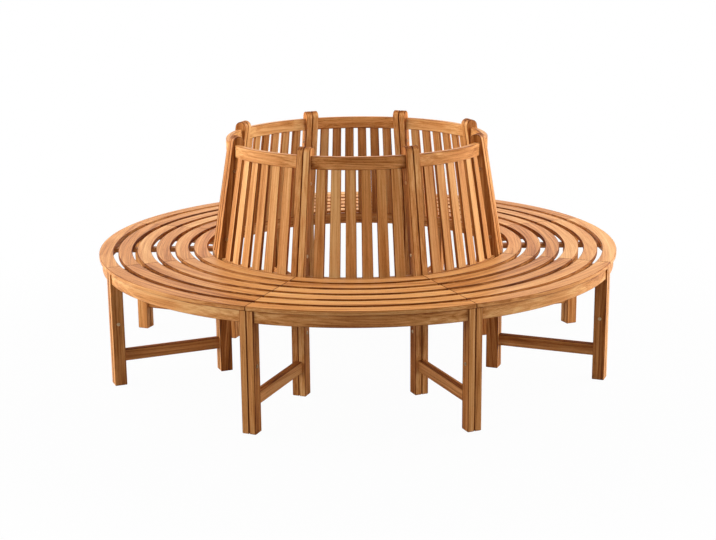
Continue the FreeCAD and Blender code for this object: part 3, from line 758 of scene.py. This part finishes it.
class BENCH_OT_rear_posts(bpy.types.Operator):
    """Model the two rear legs with their leaning, half-round back posts at every seam"""

    bl_idname = "bench.rear_posts"
    bl_label = "Rear legs and back posts"

    def execute(self, context):
        sizes = context.scene.bench_sizes
        wood = wood_material("frame wood", context.scene.bench_wood)
        for number in section_numbers(sizes):
            stack = BoardStack(f"post_pair_{number}", context.scene.bench_wood.batch)
            for side in SIDES:
                # A paler tone that is partly painted light, and painted shade on the flanks.
                stack.add(
                    post_board(sizes, side), seam_frame(sizes, number), "Z",
                    shade=POST_SHADE, flank=PAINTED_FLANK_SHADE, lean=sizes.lean / 2)
            stack.finish(wood, f"rear_posts_{number}")
        return {"FINISHED"}


class BENCH_OT_stretchers(bpy.types.Operator):
    """Model the two low stretchers between outer and rear legs at every seam"""

    bl_idname = "bench.stretchers"
    bl_label = "Stretchers"

    def execute(self, context):
        sizes = context.scene.bench_sizes
        # Painted shade on the stretchers' narrow sides, under the seat.
        paired_boards(
            context.scene, ("stretcher_pair", "stretchers"), "X",
            radii=(sizes.post_face - sizes.stretcher_lap,
                   sizes.leg_face - sizes.leg_depth + sizes.stretcher_lap),
            flanks=(sizes.seam_gap / 2, sizes.seam_gap / 2 + sizes.stretcher_thickness),
            heights=(sizes.stretcher_bottom, sizes.stretcher_top), edge=sizes.thin_edge, side=1.0)
        return {"FINISHED"}


class BENCH_OT_seat_bearers(bpy.types.Operator):
    """Model the two radial bearers under the ends of the seat slats at every seam"""

    bl_idname = "bench.seat_bearers"
    bl_label = "Seat bearers"

    def execute(self, context):
        sizes = context.scene.bench_sizes
        middle = (sizes.seam_gap + sizes.leg_thickness) / 2
        paired_boards(
            context.scene, ("bearer_pair", "seat_bearers"), "X",
            radii=(sizes.post_face, sizes.leg_face - sizes.leg_depth),
            flanks=(middle - sizes.bearer_thickness / 2, middle + sizes.bearer_thickness / 2),
            heights=(sizes.bearer_bottom, sizes.frame_top), edge=sizes.thin_edge)
        return {"FINISHED"}


class BENCH_OT_seat_battens(bpy.types.Operator):
    """Model the batten under the middle of every section's seat"""

    bl_idname = "bench.seat_battens"
    bl_label = "Seat battens"

    def execute(self, context):
        sizes = context.scene.bench_sizes
        wood = wood_material("frame wood", context.scene.bench_wood)
        for number in section_numbers(sizes):
            stack = BoardStack(f"batten_{number}", context.scene.bench_wood.batch)
            low = Vector((sizes.low_rail_face, -sizes.batten_width / 2, sizes.batten_bottom))
            high = Vector((-BATTEN_LOW.y, sizes.batten_width / 2, sizes.frame_top))
            stack.add(straight_board(low, high, sizes.thin_edge), section_frame(sizes, number), "X")
            stack.finish(wood, f"seat_batten_{number}")
        return {"FINISHED"}


class BENCH_OT_seat_slats(bpy.types.Operator):
    """Model the curved seat slats of every section"""

    bl_idname = "bench.seat_slats"
    bl_label = "Seat slats"

    def execute(self, context):
        sizes = context.scene.bench_sizes
        wood = wood_material("seat wood", context.scene.bench_wood)
        for number in section_numbers(sizes):
            stack = BoardStack(f"seat_boards_{number}", context.scene.bench_wood.batch)
            for slat in range(sizes.seat_slat_count):
                outer = sizes.seat_radius - slat * (sizes.seat_slat_width + sizes.seat_slat_gap)
                board = curved_board(
                    sizes, outer, outer - sizes.seat_slat_width, sizes.frame_top, sizes.seat_height,
                    sizes.slat_seam / 2, sizes.slat_edge)
                # Painted shade darkens the sides of every slat but the outermost, so the seat's outer
                # edge is as pale as its top.
                stack.add(
                    board, section_frame(sizes, number), "Y", side=float(slat > 0), bend=CURVED_GRAIN)
            stack.finish(wood, f"seat_slats_{number}")
        return {"FINISHED"}


class BENCH_OT_front_aprons(bpy.types.Operator):
    """Model the curved apron under the outer slat of every section"""

    bl_idname = "bench.front_aprons"
    bl_label = "Front aprons"

    def execute(self, context):
        sizes = context.scene.bench_sizes
        ring_of_boards(
            context.scene, "apron_boards", "front_aprons", sizes.apron_face, sizes.apron_thickness,
            sizes.apron_bottom, sizes.frame_top)
        return {"FINISHED"}


class BENCH_OT_back_rails(bpy.types.Operator):
    """Model the curved bottom and top rails of every section's back"""

    bl_idname = "bench.back_rails"
    bl_label = "Back rails"

    def execute(self, context):
        sizes = context.scene.bench_sizes
        for node, face, bottom, top in (
                ("bottom_rails", sizes.low_rail_face, sizes.low_rail_bottom, sizes.low_rail_top),
                ("top_rails", sizes.top_rail_face, sizes.top_rail_bottom, sizes.top_rail_top)):
            ring_of_boards(
                context.scene, f"{node}_boards", node, face, sizes.rail_thickness, bottom, top,
                RAIL_SHADE)
        return {"FINISHED"}


class BENCH_OT_back_slats(bpy.types.Operator):
    """Model the upright back slats of every section, fanned out about the trunk"""

    bl_idname = "bench.back_slats"
    bl_label = "Back slats"

    def execute(self, context):
        sizes = context.scene.bench_sizes
        wood = wood_material("frame wood", context.scene.bench_wood)
        beside_post = flank_distance(sizes) + sizes.back_end_gap + sizes.back_slat_width / 2
        rail_middle = sizes.low_rail_face - sizes.rail_thickness / 2
        end_angle = half_turn(sizes) - math.asin(beside_post / rail_middle)
        for number in section_numbers(sizes):
            stack = BoardStack(f"back_boards_{number}", context.scene.bench_wood.batch)
            for slat in range(sizes.back_slat_count):
                turn = end_angle * (2 * slat / (sizes.back_slat_count - 1) - 1)
                place = section_frame(sizes, number) @ Matrix.Rotation(turn, 4, "Z")
                # A paler tone that is partly painted light, for the light that the leaning slats catch,
                # and painted shade on their narrow sides.
                stack.add(
                    back_slat_board(sizes), place, "Z", shade=BACK_SLAT_SHADE, side=1.0,
                    lean=sizes.lean)
            stack.finish(wood, f"back_slats_{number}")
        return {"FINISHED"}


# Sides of a bolt head and of its key socket. The head rises in steps, each a share of its height,
# and is narrowed to a share of its width after each.
HEAD_SIDES = 24
SOCKET_SIDES = 6
HEAD_STEPS = ((0.65, 1.0), (0.35, 0.93))


def bolt_head(sizes):
    """A flat round head with a six-sided key socket, on the ground plane with its face up."""
    head = bmesh.new()
    bmesh.ops.create_circle(head, segments=HEAD_SIDES, radius=sizes.bolt_head_radius)
    rim = head.edges[:]
    for rise, width in HEAD_STEPS:
        corners, rim = pulled_out(head, rim)
        bmesh.ops.translate(head, vec=(0, 0, rise * sizes.bolt_head_height), verts=corners)
        bmesh.ops.scale(head, vec=(width, width, 1), verts=corners)
    socket = bmesh.ops.create_circle(
        head, segments=SOCKET_SIDES, radius=sizes.socket_radius)["verts"]
    sides = [edge for edge in head.edges if edge.verts[0] in socket]
    bmesh.ops.translate(head, vec=(0, 0, sizes.bolt_head_height), verts=socket)
    bmesh.ops.subdivide_edges(head, edges=sides, cuts=HEAD_SIDES // SOCKET_SIDES - 1)
    mouth = [edge for edge in head.edges if edge.is_wire]
    bmesh.ops.bridge_loops(head, edges=rim + mouth)
    bottom = pulled_out(head, mouth)[0]
    bmesh.ops.translate(head, vec=(0, 0, -sizes.socket_depth), verts=bottom)
    fill_ends(head)
    bmesh.ops.recalc_face_normals(head, faces=head.faces)
    return head


class BENCH_OT_connector_bolts(bpy.types.Operator):
    """Model the bolt and nut heads on both flanks of every pair of legs and posts"""

    bl_idname = "bench.connector_bolts"
    bl_label = "Connector bolts"

    def execute(self, context):
        sizes = context.scene.bench_sizes
        places = [(sizes.leg_face - sizes.leg_depth / 2, sizes.bolt_height),
                  (sizes.post_face - sizes.post_depth / 2, sizes.bolt_height)]
        for height in (sizes.seat_height + sizes.post_bolt_rise,
                       sizes.top_rail_bottom - sizes.post_bolt_drop):
            places.append((back_line(sizes, height), height))
        heads = bmesh.new()
        for number in section_numbers(sizes):
            for radius, height in places:
                for side in SIDES:
                    flank = Matrix.Translation((radius, side * flank_distance(sizes), height))
                    outward = Matrix.Rotation(-side * math.pi / 2, 4, "X")
                    join(heads, bolt_head(sizes), seam_frame(sizes, number) @ flank @ outward)
        show_piece("bolt_heads", heads, zinc_material(), "connector_bolts")
        return {"FINISHED"}


# Every lamp: its name, the property with its power, its place, its size and its target.
LAMPS = (
    ("side_lamp_right", "side_lamp", (4.3, -0.5, 1.7), (4.8, 2.4), (0, -0.2, 0.45)),
    ("rim_lamp_right", "rim_lamp", (3.3, 2.0, 1.7), (2.2, 2.0), (0, 0, 0.45)),
    ("top_lamp_right", "top_lamp", (2.0, 0, 2.7), (1.6, 2.4), (1.5, 0, 0.45)),
    ("side_lamp_left", "side_lamp", (-4.3, -0.9, 1.7), (4.8, 2.4), (0, -0.2, 0.45)),
    ("rim_lamp_left", "rim_lamp", (-3.3, 2.0, 1.7), (2.2, 2.0), (0, 0, 0.45)),
    ("top_lamp_left", "top_lamp", (-2.0, 0, 2.7), (1.6, 2.4), (-1.5, 0, 0.45)),
    ("front_lamp", "front_lamp", (-0.6, -6.0, 2.6), (3.4, 1.4), (0, 0, 0.6)))

# Where the room turns from its front to its back, seen from its middle, for its light and for its
# reflection, and how bright the reflection is in front and behind.
LIGHT_TURN = (-0.60, 0.20)
REFLECTION_TURN = (-0.60, 0.10)
REFLECTION_LIGHT = (0.03, 1.0)

# The round floor, and the distances from the trunk between which it turns wholly white.
FLOOR_RADIUS = 60
FLOOR_SIDES = 96
FLOOR_FADE = (1.4, 2.4)


def soft_lamp(name, place, size, energy, target):
    """A large soft area lamp that leaves no glare of its own on the oiled wood."""
    lamp = bpy.data.lights.new(name, "AREA")
    lamp.shape = "RECTANGLE"
    lamp.size, lamp.size_y = size
    lamp.energy = energy
    thing = bpy.data.objects.new(name, lamp)
    thing.location = place
    thing.visible_glossy = False
    bpy.context.scene.collection.objects.link(thing)
    towards = Vector(target) - thing.location
    thing.rotation_euler = towards.to_track_quat("-Z", "Y").to_euler()


def pale_world(studio):
    """A soft room, plain white to the camera, and to reflections white behind and dim in front."""
    world = bpy.data.worlds.new("studio room")
    world.use_nodes = True
    tree = world.node_tree
    tree.nodes.clear()
    path = add_node(tree, "ShaderNodeLightPath")
    seen = math_node(
        tree, "MAXIMUM", path.outputs["Is Glossy Ray"], path.outputs["Is Transmission Ray"])
    towards = add_node(tree, "ShaderNodeTexCoord").outputs["Generated"]
    depth = add_node(tree, "ShaderNodeSeparateXYZ", {0: towards}).outputs[1]
    backdrop = ranged(tree, depth, *REFLECTION_TURN, *REFLECTION_LIGHT)
    walls = ranged(
        tree, depth, *LIGHT_TURN, studio.room_front * studio.room_light, studio.room_light)
    room = math_node(tree, "MULTIPLY", math_node(tree, "SUBTRACT", 1.0, seen), walls)
    strength = math_node(tree, "ADD", room, math_node(tree, "MULTIPLY", seen, backdrop))
    strength = math_node(tree, "MAXIMUM", strength, path.outputs["Is Camera Ray"])
    light = add_node(tree, "ShaderNodeBackground", {"Color": (1, 1, 1, 1), "Strength": strength})
    output = add_node(tree, "ShaderNodeOutputWorld")
    tree.links.new(light.outputs[0], output.inputs[0])
    bpy.context.scene.world = world


def floor_material(studio):
    """A pale floor that the camera sees nearly white, with the bench's shadow kept."""
    material = bpy.data.materials.new("pale floor")
    material.use_nodes = True
    tree = material.node_tree
    tree.nodes.clear()
    matt = add_node(tree, "ShaderNodeBsdfDiffuse", {"Color": (*studio.floor_colour, 1)})
    white = add_node(tree, "ShaderNodeEmission", {"Color": (1, 1, 1, 1), "Strength": 1.0})
    path = add_node(tree, "ShaderNodeLightPath")
    places = add_node(tree, "ShaderNodeTexCoord").outputs["Object"]
    distance = vector_node(tree, "LENGTH", places)
    glow = ranged(tree, distance, *FLOOR_FADE, studio.floor_glow, 1.0)
    share_seen = math_node(tree, "MULTIPLY", path.outputs["Is Camera Ray"], glow)
    blend = add_node(
        tree, "ShaderNodeMixShader", {0: share_seen, 1: matt.outputs[0], 2: white.outputs[0]})
    output = add_node(tree, "ShaderNodeOutputMaterial")
    tree.links.new(blend.outputs[0], output.inputs[0])
    return material


def place_floor(studio):
    """Lay the floor on the ground."""
    shape = bmesh.new()
    bmesh.ops.create_circle(shape, cap_ends=True, segments=FLOOR_SIDES, radius=FLOOR_RADIUS)
    mesh = bpy.data.meshes.new("floor")
    shape.to_mesh(mesh)
    shape.free()
    mesh.materials.append(floor_material(studio))
    floor = bpy.data.objects.new("floor", mesh)
    bpy.context.scene.collection.objects.link(floor)


def place_camera(studio):
    """Stand the camera in front of the bench and turn it round the trunk by its heading."""
    lens = bpy.data.cameras.new("camera")
    lens.sensor_fit = "HORIZONTAL"
    lens.sensor_width = studio.sensor_width
    lens.lens = studio.lens
    camera = bpy.data.objects.new("camera", lens)
    bpy.context.scene.collection.objects.link(camera)
    turn = Matrix.Rotation(studio.camera_heading, 4, "Z")
    stand = Matrix.Translation((0, -studio.camera_distance, studio.camera_height))
    tilt = Matrix.Rotation(math.pi / 2 - studio.camera_tilt, 4, "X")
    camera.matrix_world = turn @ stand @ tilt @ Matrix.Rotation(studio.camera_roll, 4, "Z")
    bpy.context.scene.camera = camera


class BENCH_OT_stage(bpy.types.Operator):
    """Set up the pale floor, the soft lamps, the room and the camera"""

    bl_idname = "bench.stage"
    bl_label = "Studio and camera"

    def execute(self, context):
        studio = context.scene.bench_studio
        context.scene.view_settings.view_transform = "Standard"
        place_floor(studio)
        pale_world(studio)
        for name, strength, place, size, target in LAMPS:
            soft_lamp(name, place, size, getattr(studio, strength), target)
        place_camera(studio)
        return {"FINISHED"}


OPERATORS = (
    BENCH_OT_outer_legs, BENCH_OT_rear_posts, BENCH_OT_stretchers, BENCH_OT_seat_bearers,
    BENCH_OT_seat_battens, BENCH_OT_seat_slats, BENCH_OT_front_aprons, BENCH_OT_back_rails,
    BENCH_OT_back_slats, BENCH_OT_connector_bolts, BENCH_OT_stage)


class BENCH_PT_panel(bpy.types.Panel):
    """The tree bench's sizes, finish and making steps"""

    bl_idname = "BENCH_PT_panel"
    bl_label = "Tree bench"
    bl_space_type = "VIEW_3D"
    bl_region_type = "UI"
    bl_category = "Tree bench"

    def draw(self, context):
        for operator in OPERATORS:
            self.layout.operator(operator.bl_idname)
        for group in (context.scene.bench_sizes, context.scene.bench_wood, context.scene.bench_studio):
            box = self.layout.box()
            for name in group.bl_rna.properties.keys():
                if name not in {"rna_type", "name"}:
                    box.prop(group, name)


CLASSES = (BenchSizes, WoodFinish, StudioSet, *OPERATORS, BENCH_PT_panel)


def register():
    """Register the classes and hang their sizes and finishes on the scene."""
    for each in CLASSES:
        bpy.utils.register_class(each)
    bpy.types.Scene.bench_sizes = PointerProperty(type=BenchSizes)
    bpy.types.Scene.bench_wood = PointerProperty(type=WoodFinish)
    bpy.types.Scene.bench_studio = PointerProperty(type=StudioSet)


def unregister():
    """Take them away again."""
    del bpy.types.Scene.bench_studio
    del bpy.types.Scene.bench_wood
    del bpy.types.Scene.bench_sizes
    for each in reversed(CLASSES):
        bpy.utils.unregister_class(each)


def main():
    """Build every piece and the studio."""
    register()
    for step in (
            bpy.ops.bench.stage, bpy.ops.bench.outer_legs, bpy.ops.bench.rear_posts,
            bpy.ops.bench.stretchers, bpy.ops.bench.seat_bearers, bpy.ops.bench.seat_battens,
            bpy.ops.bench.seat_slats, bpy.ops.bench.front_aprons, bpy.ops.bench.back_rails,
            bpy.ops.bench.back_slats, bpy.ops.bench.connector_bolts):
        step()


if __name__ == "__main__":
    main()
